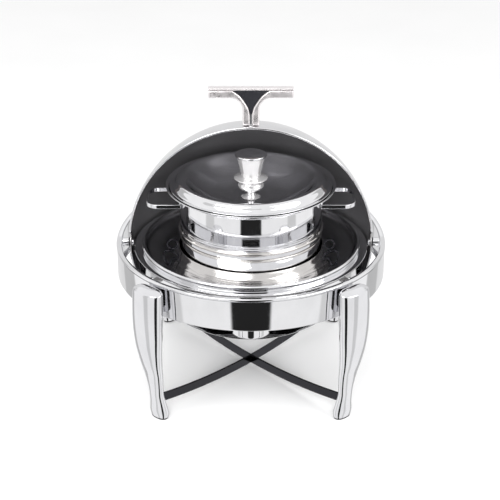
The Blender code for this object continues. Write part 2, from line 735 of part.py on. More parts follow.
def add_pot_handle(name, side, pot):
    """A flat strap bent into a D, riveted to the wall at both ends."""
    half = POT_HANDLE_HALF_WIDTH
    reach = POT_HANDLE_REACH
    thick = POT_HANDLE_THICK
    corner = 0.020
    wall_x = sqrt((POT_R + 0.0004) ** 2 - (half - thick) ** 2)
    steps = 5
    outer = [(wall_x, -half)]
    inner = [(wall_x, -half + thick)]
    for mid_y, start in ((-half + corner, -pi / 2), (half - corner, 0)):
        for i in range(steps + 1):
            angle = start + (pi / 2) * i / steps
            c, s = cos(angle), sin(angle)
            outer.append((reach - corner + corner * c, mid_y + corner * s))
            inner.append((reach - corner + (corner - thick) * c, mid_y + (corner - thick) * s))
    outer.append((wall_x, half))
    inner.append((wall_x, half - thick))
    outline = [(side * x, y) for x, y in outer + inner[::-1]]
    high = RIM_Z + POT_HANDLE_TOP
    prism(f"pot_handle_{name}", outline, high - POT_HANDLE_HEIGHT, high, POLISHED, pot)
    for end, y in (("front", -1), ("rear", 1)):
        across = (half - thick - RIVET_R - 0.002) * y
        azimuth = atan2(across, side * POT_R)
        z = high - POT_HANDLE_HEIGHT / 2
        place = Matrix.Translation((0, 0, z)) @ Matrix.Rotation(azimuth, 4, "Z")
        place = place @ Matrix.Rotation(pi / 2, 4, "Y")
        foot = POT_R + GAP
        head = [(0, foot), (RIVET_R, foot), (RIVET_R * 0.7, foot + 0.0018), (0, foot + 0.0022)]
        turned(f"handle_rivet_{name}_{end}", head, POLISHED, pot, 12, place)


def add_pot_lid(parent):
    lid = make_empty("pot_lid_axis", (0, 0, 0), parent)
    edge = POT_TOP_Z + 0.0004
    shoulder = edge + LID_SHOULDER_RISE
    middle = edge - LID_DISH
    path = [(LID_R, edge), (LID_R - 0.005, edge), (LID_R - 0.008, edge + 0.003)]
    path += [(LID_SHOULDER_R + 0.005, shoulder - 0.0015), (LID_SHOULDER_R, shoulder)]
    path += [(LID_SHOULDER_R - 0.006, shoulder - 0.002), (0.095, edge - 0.0040)]
    path += [(0.075, edge - 0.016), (0.055, edge - 0.022), (0.030, middle), (0, middle)]
    turned("pot_lid", sheet(path, SHEET), POLISHED, lid)
    foot = middle + GAP
    stem = [(0, foot), (0.016, foot), (0.0115, foot + 0.002), (0.007, foot + 0.006)]
    stem += [(0.0052, foot + 0.0115), (0, foot + 0.0115)]
    turned("knob_stem", stem, POLISHED, lid, 24)
    low = foot + 0.0115 + GAP
    ball = KNOB_BALL_R
    flange_z = low + 0.0205
    knob = [(0, low), (ball * 0.45, low), (ball * 0.85, low + 0.0035), (ball, low + 0.009)]
    knob += [(ball * 0.9, low + 0.0145), (ball * 0.66, low + 0.018), (KNOB_FLANGE_R - 0.001, flange_z)]
    knob += [(KNOB_FLANGE_R, flange_z + 0.0015), (KNOB_FLANGE_R - 0.001, flange_z + 0.003)]
    knob += [(0.0165, flange_z + 0.0055), (0.0165, flange_z + 0.008), (0.0235, flange_z + 0.039)]
    knob += [(0, flange_z + 0.039)]
    turned("lid_knob", knob, POLISHED, lid, 24)
    cap_z = flange_z + 0.039 + GAP
    cap = [(0, cap_z), (KNOB_CAP_R - 0.001, cap_z), (KNOB_CAP_R, cap_z + 0.0015)]
    cap += [(KNOB_CAP_R - 0.001, cap_z + 0.0035), (KNOB_CAP_R - 0.006, cap_z + 0.005), (0, cap_z + 0.0055)]
    turned("knob_cap", cap, POLISHED, lid, 24)


def build():
    clear_scene()
    stand = make_empty("stand")
    add_band(stand)
    add_legs(stand)
    add_braces(stand)
    add_hinges(stand)
    add_pan_support(stand)
    add_water_pan(stand)
    add_adaptor_plate(stand)
    add_burner(stand)
    add_cover(stand)
    pot = add_pot(stand)
    add_pot_lid(pot)


build()
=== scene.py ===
"""The looks of a round roll top chafer: fine meshes, materials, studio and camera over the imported
frame. Units are metres, +Z is up and -Y is the front, as in the frame."""

import json
from math import asin, atan2, cos, pi, radians, sin, sqrt, tan

import bmesh
import bpy
from mathutils import Matrix, Vector

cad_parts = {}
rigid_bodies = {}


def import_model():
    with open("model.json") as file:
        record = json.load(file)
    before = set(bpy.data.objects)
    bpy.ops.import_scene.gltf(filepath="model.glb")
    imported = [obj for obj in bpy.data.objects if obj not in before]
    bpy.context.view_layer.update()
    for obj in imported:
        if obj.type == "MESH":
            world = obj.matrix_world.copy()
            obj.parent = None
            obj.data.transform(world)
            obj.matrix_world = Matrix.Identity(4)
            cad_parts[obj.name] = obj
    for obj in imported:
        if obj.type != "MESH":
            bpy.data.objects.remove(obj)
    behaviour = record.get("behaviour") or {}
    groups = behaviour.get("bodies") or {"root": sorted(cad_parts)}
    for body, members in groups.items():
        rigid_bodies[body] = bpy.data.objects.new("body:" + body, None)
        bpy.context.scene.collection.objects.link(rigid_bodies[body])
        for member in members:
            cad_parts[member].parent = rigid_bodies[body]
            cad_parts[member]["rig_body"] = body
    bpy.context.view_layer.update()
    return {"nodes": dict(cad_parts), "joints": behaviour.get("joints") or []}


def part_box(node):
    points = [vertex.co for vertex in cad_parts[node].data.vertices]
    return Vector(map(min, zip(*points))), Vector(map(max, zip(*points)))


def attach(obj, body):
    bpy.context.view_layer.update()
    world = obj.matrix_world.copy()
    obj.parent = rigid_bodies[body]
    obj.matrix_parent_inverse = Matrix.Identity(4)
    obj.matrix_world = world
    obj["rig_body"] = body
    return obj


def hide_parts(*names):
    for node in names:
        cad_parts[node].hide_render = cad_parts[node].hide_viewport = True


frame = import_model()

SIDES = (("left", -1), ("right", 1))


def lowest(node):
    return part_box(node)[0]


def highest(node):
    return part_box(node)[1]


# Driving sizes, from the frame where a node holds them
GAP = 0.0003
BAND_R = highest("rim_bead").x
BAND_LOW = lowest("body_band").z
BAND_HEIGHT = 0.056
RIM_Z = BAND_LOW + BAND_HEIGHT
HINGE_Z = frame["joints"][0]["pos_m"][2]
REAR_RISE = radians(6.5)
BEAD_WIDTH = 0.009
BEAD_HEIGHT = 0.005
BAND_WALL = 0.0015
BAND_LIP = 0.006
BAND_OUTER_R = BAND_R - 0.0008
BAND_INNER_R = BAND_OUTER_R - BAND_WALL
LEG_AZIMUTH = radians(42)
BRACKET_AZIMUTH = radians(48)
BRACE_HEIGHT = 0.015
BRACE_THICK = 0.0035
BRACE_END_Z = RIM_Z - 0.213
BRACE_MIDDLE_Z = RIM_Z - 0.233
BRACE_NOTCH = 0.0021
SHEET = 0.0012

COVER_R = 0.204
COVER_WALL = 0.0012
COVER_INNER_R = COVER_R - COVER_WALL
COVER_FRONT = radians(1.5)
COVER_REAR = COVER_FRONT + radians(171.5)
COVER_OPEN = radians(frame["joints"][0]["range_deg"][1])
POLE_CUT = radians(4.5)
EDGE_BAND_WIDTH = radians(6)
EDGE_BAND_THICK = 0.0012
TRIM_R = 0.002
HINGE_PLATE_R = 0.0175
HINGE_PLATE_THICK = 0.002
HINGE_PLATE_OUTER = COVER_INNER_R - 0.0011

PIN_R = 0.004
PIN_HOLE_R = 0.0042
BOSS_R = 0.0075
WASHER_R = 0.0085
WASHER_THICK = 0.0023
NUT_R = 0.006
NUT_LENGTH = 0.0042

PAN_R = 0.180
PAN_LIP_Z = highest("water_pan").z
POT_TOP_Z = highest("soup_pot").z
POT_R = 0.119
POT_BASE_R = 0.1155
POT_NECK_R = 0.1165
POT_LEDGE_R = 0.1210
POT_BEAD_R = 0.1190
POT_HANDLE_THICK = 0.003
RIVET_R = 0.004
COLLAR_R = highest("adaptor_collar").x
COLLAR_WALL = 0.0015
WIRE_R = 0.0015
STRAP_THICK = 0.0022
STRAP_WIDTH = 0.022

ROUND_STEPS = 192
SMALL_STEPS = 64


# Mesh helpers


def stand_in(node, data, finishes, place=None, crease=32, bevel=0):
    """Make the shown piece of one CAD node from a bmesh. It rides on the node's body."""
    if place is not None:
        data.transform(place)
    bmesh.ops.remove_doubles(data, verts=data.verts, dist=1e-7)
    bmesh.ops.recalc_face_normals(data, faces=data.faces)
    mesh = bpy.data.meshes.new(f"{node}_look")
    data.to_mesh(mesh)
    data.free()
    mesh.shade_smooth()
    mesh.set_sharp_from_angle(angle=radians(crease))
    for finish in finishes:
        mesh.materials.append(finish)
    piece = bpy.data.objects.new(f"{node}_look", mesh)
    bpy.context.scene.collection.objects.link(piece)
    if bevel:
        rounding = piece.modifiers.new("rounding", "BEVEL")
        rounding.width = bevel
        rounding.segments = 5
        rounding.limit_method = "ANGLE"
        rounding.angle_limit = radians(40)
        rounding.harden_normals = bevel < 0.002
    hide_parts(node)
    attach(piece, frame["nodes"][node]["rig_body"])
    return piece


def skin(rings, closed_path=False, strip_ends=False):
    """Faces over rings of equal length, ended by one face, or by a row across a thin strip."""
    data = bmesh.new()
    rows = [[data.verts.new(point) for point in ring] for ring in rings]
    count = len(rows[0])
    pairs = list(zip(rows, rows[1:]))
    if closed_path:
        pairs.append((rows[-1], rows[0]))
    for one, two in pairs:
        for i in range(count):
            j = (i + 1) % count
            data.faces.new((one[i], one[j], two[j], two[i]))
    ends = [] if closed_path else [rows[0], rows[-1]]
    for row in ends:
        if not strip_ends:
            data.faces.new(row)
            continue
        for i in range(count // 2 - 1):
            back = count - 1 - i
            data.faces.new((row[i], row[i + 1], row[back - 1], row[back]))
    return data


def turned(outline, steps=ROUND_STEPS):
    """Turn a (radius, height) outline about Z. It is a ring, or starts and ends on the axis."""
    on_axis = outline[0][0] == 0 and outline[-1][0] == 0
    data = bmesh.new()
    rows = []
    for i in range(steps):
        angle = 2 * pi * i / steps
        rows.append([data.verts.new((r * cos(angle), r * sin(angle), z)) for r, z in outline])
    count = len(outline)
    for i, row in enumerate(rows):
        after = rows[(i + 1) % steps]
        for k in range(count - 1 if on_axis else count):
            n = (k + 1) % count
            data.faces.new((row[k], after[k], after[n], row[n]))
    bmesh.ops.remove_doubles(data, verts=data.verts, dist=1e-7)
    bmesh.ops.dissolve_degenerate(data, edges=data.edges, dist=1e-8)
    return data


def rounded(points, radius, closed=False, steps=4):
    """The path with its corners cut back by the radius, or less on a short side, and curved."""
    made = []
    count = len(points)
    for i, point in enumerate(points):
        if not closed and i in (0, count - 1):
            made.append(tuple(point))
            continue
        here = Vector(point)
        before, after = Vector(points[i - 1]), Vector(points[(i + 1) % count])
        reach_in = min(radius, (before - here).length * 0.45)
        reach_out = min(radius, (after - here).length * 0.45)
        start = here + (before - here).normalized() * reach_in
        end = here + (after - here).normalized() * reach_out
        for k in range(steps + 1):
            t = k / steps
            made.append(tuple(start * (1 - t) ** 2 + here * 2 * t * (1 - t) + end * t**2))
    return made


def curved(points, steps=6):
    """A smooth path through the points (Catmull-Rom), any number of values in each."""
    made = []
    last = len(points) - 1
    for i in range(last):
        p0, p1 = points[max(i - 1, 0)], points[i]
        p2, p3 = points[i + 1], points[min(i + 2, last)]
        for k in range(steps):
            t = k / steps
            row = []
            for a, b, c, d in zip(p0, p1, p2, p3):
                bend = (2 * a - 5 * b + 4 * c - d) * t**2 + (3 * b - a - 3 * c + d) * t**3
                row.append((2 * b + (c - a) * t + bend) / 2)
            made.append(tuple(row))
    made.append(tuple(points[-1]))
    return made


def pressed(points, thick):
    """Closed outline of a pressed sheet with rounded free edges: the path, then its left offset."""
    last = len(points) - 1
    offset, normals = [], []
    for i, (r, z) in enumerate(points):
        here = Vector((r, z))
        before, after = Vector(points[max(i - 1, 0)]), Vector(points[min(i + 1, last)])
        one = (here - before).normalized() if i > 0 else (after - here).normalized()
        two = (after - here).normalized() if i < last else one
        side = Vector((-one.y - two.y, one.x + two.x)).normalized()
        moved = here + side * thick / max(side.dot(Vector((-one.y, one.x))), 0.5)
        offset.append((0 if r == 0 else moved.x, moved.y))
        normals.append(side)
    outline = list(points)
    for end, back in ((last, offset[::-1]), (0, [])):
        middle = (Vector(points[end]) + Vector(offset[end])) / 2
        if points[end][0] > 0:
            away = Vector((normals[end].y, -normals[end].x)) * (1 if end else -1)
            turns = [pi * k / 6 for k in range(1, 6)]
            start = -normals[end] if end else normals[end]
            outline += [tuple(middle + (start * cos(a) + away * sin(a)) * thick / 2) for a in turns]
        outline += back
    return outline


def collar_outline(inner, outer, low, high, radius):
    """Outline of a turned ring with rounded edges."""
    corners = [(inner, low), (outer, low), (outer, high), (inner, high)]
    return rounded(corners, radius, closed=True)


def extruded(outline, low, high):
    return skin([[Vector((x, y, z)) for x, y in outline] for z in (low, high)])


def tube(centres, sides, ups, radius, steps=16, closed=False):
    """A round wire along the centres, with two directions across it at each."""
    rings = []
    for centre, side, up in zip(centres, sides, ups):
        turns = [2 * pi * k / steps for k in range(steps)]
        rings.append([centre + (side * cos(a) + up * sin(a)) * radius for a in turns])
    return skin(rings, closed_path=closed)


def sector(start, end, steps):
    return [start + (end - start) * i / steps for i in range(steps + 1)]


def squared(value, power):
    """A sine or cosine pushed outwards by a power under 1, which turns an ellipse into an oblong."""
    return abs(value) ** power * (1 if value > 0 else -1)


def along_x(side):
    """Turned pieces point from the middle outwards along X, to the left (-1) or right (1)."""
    return Matrix.Rotation(side * pi / 2, 4, "Y")


def radial(azimuth):
    """Local X points outwards at an azimuth from the front, +X side positive."""
    return Matrix.Rotation(azimuth - pi / 2, 4, "Z")


# Materials


def principled(name, colour, metallic, roughness):
    """A material with its nodes, links and main shader."""
    material = bpy.data.materials.new(name)
    material.use_nodes = True
    tree = material.node_tree
    shader = tree.nodes["Principled BSDF"]
    shader.inputs["Base Color"].default_value = (*colour, 1)
    shader.inputs["Metallic"].default_value = metallic
    shader.inputs["Roughness"].default_value = roughness
    return material, tree, shader


def noise(tree, scale, detail, stretch=(1, 1, 1)):
    """A noise over the object's own coordinates, in cycles per metre."""
    place = tree.nodes.new("ShaderNodeTexCoord")
    mapping = tree.nodes.new("ShaderNodeMapping")
    mapping.inputs["Scale"].default_value = stretch
    texture = tree.nodes.new("ShaderNodeTexNoise")
    texture.inputs["Scale"].default_value = scale
    texture.inputs["Detail"].default_value = detail
    tree.links.new(place.outputs["Object"], mapping.inputs["Vector"])
    tree.links.new(mapping.outputs["Vector"], texture.inputs["Vector"])
    return texture.outputs["Fac"]


def spread(tree, value, low, high):
    """The noise value, usually 0.3 to 0.7, spread from low to high."""
    scaled = tree.nodes.new("ShaderNodeMapRange")
    scaled.inputs["From Min"].default_value = 0.3
    scaled.inputs["From Max"].default_value = 0.7
    scaled.inputs["To Min"].default_value = low
    scaled.inputs["To Max"].default_value = high
    tree.links.new(value, scaled.inputs["Value"])
    return scaled.outputs["Result"]


def tinted(tree, value, dark, light, socket):
    """Colour between two tints, by the noise value."""
    ramp = tree.nodes.new("ShaderNodeValToRGB")
    ramp.color_ramp.elements[0].position = 0.3
    ramp.color_ramp.elements[0].color = (*dark, 1)
    ramp.color_ramp.elements[1].position = 0.7
    ramp.color_ramp.elements[1].color = (*light, 1)
    tree.links.new(value, ramp.inputs["Fac"])
    tree.links.new(ramp.outputs["Color"], socket)


def raised(tree, value, distance, strength, socket):
    bump = tree.nodes.new("ShaderNodeBump")
    bump.inputs["Distance"].default_value = distance
    bump.inputs["Strength"].default_value = strength
    tree.links.new(value, bump.inputs["Height"])
    tree.links.new(bump.outputs["Normal"], socket)


def polished_steel(name, tone, roughness, waviness, metallic=1):
    """Mirror-polished stainless steel: faint smears in the gloss and a slow waviness of the sheet."""
    material, tree, shader = principled(name, tone, metallic, roughness)
    smears = noise(tree, 28, 5, (1, 1, 0.6))
    darker = [value * 0.93 for value in tone]
    tinted(tree, smears, darker, tone, shader.inputs["Base Color"])
    fine = noise(tree, 90, 4)
    gloss = spread(tree, fine, roughness * 0.7, roughness * 1.5)
    tree.links.new(gloss, shader.inputs["Roughness"])
    raised(tree, noise(tree, 14, 1), 0.002, waviness, shader.inputs["Normal"])
    return material


def brushed_steel(name, tone, roughness, stretch, metallic=1):
    """Satin stainless steel with fine lines along one direction."""
    material, tree, shader = principled(name, tone, metallic, roughness)
    lines = noise(tree, 60, 6, stretch)
    darker = [value * 0.82 for value in tone]
    tinted(tree, lines, darker, tone, shader.inputs["Base Color"])
    tree.links.new(spread(tree, lines, roughness * 0.8, roughness * 1.25), shader.inputs["Roughness"])
    raised(tree, lines, 0.0002, 0.12, shader.inputs["Normal"])
    return material


def coated(name, tone, roughness, grain, coat):
    """A dark coating or plastic with a fine grain and small changes of tone."""
    material, tree, shader = principled(name, tone, 0, roughness)
    shader.inputs["Coat Weight"].default_value = coat
    shader.inputs["Coat Roughness"].default_value = 0.08
    speckle = noise(tree, 700, 3)
    tinted(tree, speckle, tone, [value * 1.5 for value in tone], shader.inputs["Base Color"])
    cloudy = noise(tree, 40, 4)
    tree.links.new(spread(tree, cloudy, roughness * 0.8, roughness * 1.3), shader.inputs["Roughness"])
    raised(tree, speckle, 0.0002, grain, shader.inputs["Normal"])
    return material


def make_finishes():
    return {
        "mirror": polished_steel("mirror_steel", (0.86, 0.86, 0.875), 0.045, 0.035),
        "cast": polished_steel("cast_mirror_steel", (0.83, 0.83, 0.85), 0.07, 0.05),
        "warm": polished_steel("warm_mirror_steel", (0.80, 0.775, 0.75), 0.12, 0.05),
        "handle": polished_steel("handle_steel", (0.92, 0.88, 0.885), 0.30, 0.03, 0.85),
        "inside": brushed_steel("cover_inside_steel", (0.25, 0.245, 0.258), 0.42, (1, 14, 14), 0.4),
        "edge": brushed_steel("edge_band_steel", (0.42, 0.38, 0.375), 0.36, (1, 14, 14), 0.3),
        "satin": brushed_steel("satin_steel", (0.55, 0.54, 0.54), 0.28, (1, 1, 20)),
        # Near-black tone for the braces, burner strap and lifting loops: a painted dark reflection
        # standing in for polished steel that reflects dark surroundings
        "bar": polished_steel("painted_dark_reflection_steel", (0.035, 0.035, 0.04), 0.12, 0.05),
        "knob": polished_steel("knob_steel", (0.88, 0.87, 0.875), 0.09, 0.03, 0.7),
        "black": coated("black_plastic", (0.012, 0.012, 0.015), 0.35, 0.25, 0.0),
        "rubber": coated("rubber", (0.02, 0.02, 0.02), 0.75, 0.5, 0.0),
    }


# Stand


def rim_foot(y):
    """Underside of the rim bead: level in front, rising behind the hinges."""
    return RIM_Z - BEAD_HEIGHT + max(y, 0) * tan(REAR_RISE)


def add_band(finish):
    band_rings, bead_rings = [], []
    bead_mid = BAND_R - BEAD_WIDTH / 2
    for i in range(ROUND_STEPS):
        angle = 2 * pi * i / ROUND_STEPS
        foot = rim_foot(BAND_OUTER_R * sin(angle))
        top = foot - GAP
        lip_r = BAND_OUTER_R - BAND_LIP
        outline = [(BAND_OUTER_R, top), (BAND_OUTER_R, BAND_LOW), (lip_r, BAND_LOW)]
        outline += [(lip_r, BAND_LOW + BAND_WALL), (BAND_INNER_R, BAND_LOW + BAND_WALL)]
        outline += [(BAND_INNER_R, top)]
        soft = outline[:1] + rounded(outline[:-1], 0.0028)[1:-1] + outline[-2:]
        band_rings.append([(r * cos(angle), r * sin(angle), z) for r, z in soft])
        bead = []
        bead_steps = 20
        for k in range(bead_steps):
            turn = 2 * pi * k / bead_steps
            across, up = squared(cos(turn), 0.7), squared(sin(turn), 0.7)
            r = bead_mid + across * BEAD_WIDTH / 2
            bead.append((r * cos(angle), r * sin(angle), foot + BEAD_HEIGHT * (0.5 + up / 2)))
        bead_rings.append(bead)
    stand_in("body_band", skin(band_rings, closed_path=True), [finish["mirror"]])
    stand_in("rim_bead", skin(bead_rings, closed_path=True), [finish["mirror"]], crease=60)


def leg_levels():
    """(drop below the rim, inner face from the band, width, depth) from the top to the foot."""
    pad_top = RIM_Z - highest("foot_pad_front_left").z - GAP
    return [
        (0.0045, 0.0045, 0.028, 0.0090),
        (0.0052, 0.0028, 0.043, 0.0165),
        (0.0075, 0.0010, 0.0530, 0.0245),
        (0.0120, 0.0005, 0.0580, 0.0290),
        (0.0330, 0.0012, 0.0600, 0.0305),
        (0.0600, 0.0030, 0.0595, 0.0295),
        (0.0860, 0.0040, 0.0570, 0.0278),
        (0.1120, 0.0035, 0.0510, 0.0260),
        (0.1400, 0.0010, 0.0425, 0.0230),
        (0.1640, -0.0020, 0.0355, 0.0195),
        (0.1860, -0.0035, 0.0295, 0.0168),
        (0.2020, -0.0050, 0.0275, 0.0165),
        (0.2180, -0.0090, 0.0310, 0.0190),
        (0.2330, -0.0125, 0.0355, 0.0220),
        (pad_top, -0.0120, 0.0330, 0.0200),
    ]


def oblong(middle_r, width, depth, z, steps=56):
    """One level of a leg: a rounded oblong, squarer than an ellipse."""
    ring = []
    for i in range(steps):
        angle = 2 * pi * (i + 0.5) / steps
        u, v = squared(cos(angle), 0.88), squared(sin(angle), 0.88)
        ring.append(Vector((middle_r + u * depth / 2, v * width / 2, z)))
    return ring


def add_legs(finish):
    back = BAND_R + GAP
    levels = curved(leg_levels(), 6)
    for where, azimuth in leg_azimuths().items():
        place = radial(azimuth)
        rings = [oblong(back + step + d / 2, w, d, RIM_Z - drop) for drop, step, w, d in levels]
        stand_in(f"leg_{where}", skin(rings), [finish["cast"]], place, crease=50)
        drop, step, w, d = leg_levels()[-1]
        middle = back + step + d / 2
        top = RIM_Z - drop - GAP
        heights = [(0, 0.94), (0.0006, 1), (top - 0.0006, 1), (top, 0.94)]
        pad = [oblong(middle, (w - 0.002) * s, (d - 0.002) * s, z) for z, s in heights]
        stand_in(f"foot_pad_{where}", skin(pad), [finish["rubber"]], place)


def leg_azimuths():
    back = pi - LEG_AZIMUTH
    return {
        "front_left": -LEG_AZIMUTH,
        "front_right": LEG_AZIMUTH,
        "rear_left": -back,
        "rear_right": back,
    }


def add_braces(finish):
    """Two bars on edge that sag between diagonal legs, half lapped where they cross."""
    half = highest("brace_upper").x / sin(LEG_AZIMUTH) - 0.001
    side = sector(BRACE_NOTCH, half, 28)
    high, low = BRACE_MIDDLE_Z + BRACE_HEIGHT / 2, BRACE_MIDDLE_Z - BRACE_HEIGHT / 2
    for node, azimuth, link in (
        ("brace_upper", -LEG_AZIMUTH, (BRACE_MIDDLE_Z + GAP / 2, high)),
        ("brace_lower", LEG_AZIMUTH, (low, BRACE_MIDDLE_Z - GAP / 2)),
    ):
        data = bmesh.new()
        for stations in ([-s for s in reversed(side)], side):
            rings = []
            for s in stations:
                middle = BRACE_MIDDLE_Z + (BRACE_END_Z - BRACE_MIDDLE_Z) * (s / half) ** 2
                rings.append(brace_ring(s, middle, BRACE_HEIGHT))
            add_to(data, skin(rings))
        centre, height = (link[0] + link[1]) / 2, link[1] - link[0]
        add_to(data, skin([brace_ring(s, centre, height) for s in (-BRACE_NOTCH, BRACE_NOTCH)]))
        # The braces' near-black finish is a painted dark reflection
        stand_in(node, data, [finish["bar"]], radial(azimuth), bevel=0.0005)


def add_to(data, extra):
    """Move one bmesh's faces into another."""
    mesh = bpy.data.meshes.new("part")
    extra.to_mesh(mesh)
    data.from_mesh(mesh)
    bpy.data.meshes.remove(mesh)
    extra.free()


def brace_ring(s, z, height):
    corners = ((-1, -1), (1, -1), (1, 1), (-1, 1))
    return [Vector((s, a * BRACE_THICK / 2, z + b * height / 2)) for a, b in corners]


def add_hinges(finish):
    """At each side: a boss on the band, a pin through it, a washer and a domed nut inside."""
    washer_low = HINGE_PLATE_OUTER + GAP
    washer_high = washer_low + WASHER_THICK
    boss_low = washer_high + GAP
    boss_high = BAND_R - BEAD_WIDTH - 2 * GAP
    nut_high = HINGE_PLATE_OUTER - HINGE_PLATE_THICK - GAP
    nut_low = nut_high - NUT_LENGTH
    dome_high = nut_low + 0.0018
    pin_high = boss_high - GAP
    boss = collar_outline(PIN_HOLE_R, BOSS_R, boss_low, boss_high, 0.001)
    washer = collar_outline(PIN_HOLE_R, WASHER_R, washer_low, washer_high, 0.0006)
    pin = rounded([(0, dome_high), (PIN_R, dome_high), (PIN_R, pin_high), (0, pin_high)], 0.0006)
    nut = curved([(0, nut_low), (0.0034, nut_low + 0.0004), (0.0056, dome_high)], 5)
    nut += [(NUT_R, nut_low + 0.0024), (NUT_R, nut_high), (PIN_HOLE_R, nut_high)]
    nut += [(PIN_HOLE_R, nut_low + 0.0015), (0, nut_low + 0.0015)]
    for name, side in SIDES:
        place = Matrix.Translation((0, 0, HINGE_Z)) @ along_x(side)
        stand_in(f"hinge_boss_{name}", turned(boss, SMALL_STEPS), [finish["mirror"]], place)
        stand_in(f"hinge_pin_{name}", turned(pin, SMALL_STEPS), [finish["satin"]], place)
        stand_in(f"hinge_washer_{name}", turned(washer, SMALL_STEPS), [finish["black"]], place)
        stand_in(f"hinge_nut_{name}", turned(nut, SMALL_STEPS), [finish["mirror"]], place)


def add_pan_support(finish):
    top = highest("pan_support_ring").z
    low = lowest("pan_support_ring").z
    inner = PAN_R + 0.002
    outer = inner + 0.011
    ring = collar_outline(inner, outer, low, top, 0.0008)
    stand_in("pan_support_ring", turned(ring), [finish["satin"]])
    start, end, half = outer + 0.001, BAND_INNER_R - 0.001, 0.007
    for name, side in SIDES:
        place = radial(side * BRACKET_AZIMUTH)
        corners = [(start, -half), (end, -half), (end, half), (start, half)]
        plate = extruded(rounded(corners, 0.002, closed=True), low, top)
        stand_in(f"support_bracket_{name}", plate, [finish["satin"]], place, bevel=0.0004)
        screw_at = place @ Matrix.Translation((BAND_R - BEAD_WIDTH - 0.005, 0, top + GAP))
        stand_in(f"bracket_screw_{name}", screw_head(0.0032, 0.006), [finish["mirror"]], screw_at)


def screw_head(radius, height):
    """A raised screw head with a socket in its top."""
    socket = radius * 0.45
    dome = curved([(radius, height * 0.55), (radius * 0.85, height * 0.85), (radius * 0.6, height)], 4)
    outline = [(0, 0), (radius, 0)] + dome
    outline += [(socket, height), (socket, height * 0.6), (0, height * 0.6)]
    return turned(outline, 32)


def add_water_pan(finish):
    floor = lowest("water_pan").z
    lip = PAN_LIP_Z - SHEET
    path = [(0, floor), (PAN_R, floor), (PAN_R, lip), (highest("water_pan").x, lip)]
    outline = rounded(path[:3], 0.014, steps=10)[:-1] + rounded(path[1:], 0.003)[1:]
    stand_in("water_pan", turned(pressed(outline, SHEET)), [finish["mirror"]])


def add_adaptor_plate(finish):
    """A dished plate that rests on the pan's lip, with a collar round the pot and two loops."""
    seat = PAN_LIP_Z + GAP
    low = lowest("adaptor_plate").z
    inner = COLLAR_R + GAP
    outer = highest("adaptor_plate").x
    top = highest("adaptor_plate").z - SHEET
    path = [(inner, low), (inner + 0.010, low + 0.0005), (outer - 0.033, low + 0.007)]
    path += [(outer - 0.012, low + 0.014), (outer - 0.0065, top - 0.002), (outer - 0.004, top)]
    path += [(outer - 0.0015, top - 0.0015), (outer - SHEET, seat)]
    stand_in("adaptor_plate", turned(pressed(curved(path, 6), SHEET)), [finish["mirror"]])
    collar_low, collar_top = lowest("adaptor_collar").z, highest("adaptor_collar").z
    collar = collar_outline(COLLAR_R - COLLAR_WALL, COLLAR_R, collar_low, collar_top, 0.0007)
    stand_in("adaptor_collar", turned(collar), [finish["warm"]])
    for name, _ in SIDES:
        low_corner, high_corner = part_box(f"lifting_loop_{name}")
        centre = (low_corner + high_corner) / 2
        ring_r = (high_corner.z - low_corner.z) / 2 - WIRE_R
        turns = sector(0, 2 * pi, 48)[:-1]
        outs = [Vector((cos(a), 0, sin(a))) for a in turns]
        centres = [centre + out * ring_r for out in outs]
        ups = [Vector((0, 1, 0))] * len(turns)
        loop = tube(centres, outs, ups, WIRE_R, 12, closed=True)
        # The loops' near-black finish is a painted dark reflection
        stand_in(f"lifting_loop_{name}", loop, [finish["bar"]])


def add_burner(finish):
    """A cup on a strap that hangs from the support ring, with a swivelling snuffer."""
    cup_low, cup_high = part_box("burner_cup")
    cup_r, cup_z = cup_high.x, cup_low.z
    cup_wall = cup_r - SHEET
    # The wall ends a sheet's thickness below the CAD cup, so that the snuffer swings clear
    corners = [(0, cup_z), (cup_wall, cup_z), (cup_wall, cup_high.z - SHEET)]
    path = rounded(corners, 0.005, steps=8)
    stand_in("burner_cup", turned(pressed(path, SHEET), 96), [finish["mirror"]])
    strap_top = cup_z - GAP
    hang = highest("burner_strap")
    half = [(0.070, strap_top - STRAP_THICK), (0.140, RIM_Z - 0.130)]
    half += [(hang.x - 0.001, RIM_Z - 0.060), (hang.x, hang.z)]
    corners = [(-x, z) for x, z in reversed(half)] + half
    outline = pressed_open(rounded(corners, 0.012, steps=8), STRAP_THICK)
    place = Matrix.Rotation(pi / 2, 4, "X")
    strap = extruded(outline, -STRAP_WIDTH / 2, STRAP_WIDTH / 2)
    # The strap's near-black finish is a painted dark reflection
    stand_in("burner_strap", strap, [finish["bar"]], place, bevel=0.0004)
    add_snuffer(finish, cup_r)


def add_snuffer(finish, cup_r):
    """A lid that swivels over the burner cup on an upright pin, shown swung aside."""
    pin_low, pin_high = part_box("snuffer_pin")
    pin_x = (pin_low.x + pin_high.x) / 2
    pin_r, pin_height = (pin_high.x - pin_low.x) / 2, pin_high.z - pin_low.z
    pin = rounded([(0, 0), (pin_r, 0), (pin_r, pin_height), (0, pin_height)], 0.0006)
    pin_at = Matrix.Translation((pin_x, 0, pin_low.z))
    stand_in("snuffer_pin", turned(pin, 32), [finish["satin"]], pin_at)
    swivel = Matrix.Translation((pin_x, 0, lowest("snuffer_lid").z))
    swivel = swivel @ Matrix.Rotation(radians(-110), 4, "Z")
    lid_r, lid_thick = cup_r + 0.001, 0.002
    lid = rounded([(0, 0), (lid_r, 0), (lid_r, lid_thick), (0, lid_thick)], 0.0007)
    lid_at = swivel @ Matrix.Translation((-pin_x, 0, 0))
    stand_in("snuffer_lid", turned(lid, 96), [finish["satin"]], lid_at)
    corners = [(-0.001, -0.005), (0.018, -0.005), (0.018, 0.005), (-0.001, 0.005)]
    grip = extruded(rounded(corners, 0.0025, closed=True), lid_thick + GAP, 0.004)
    stand_in("snuffer_grip", grip, [finish["black"]], swivel, bevel=0.0004)


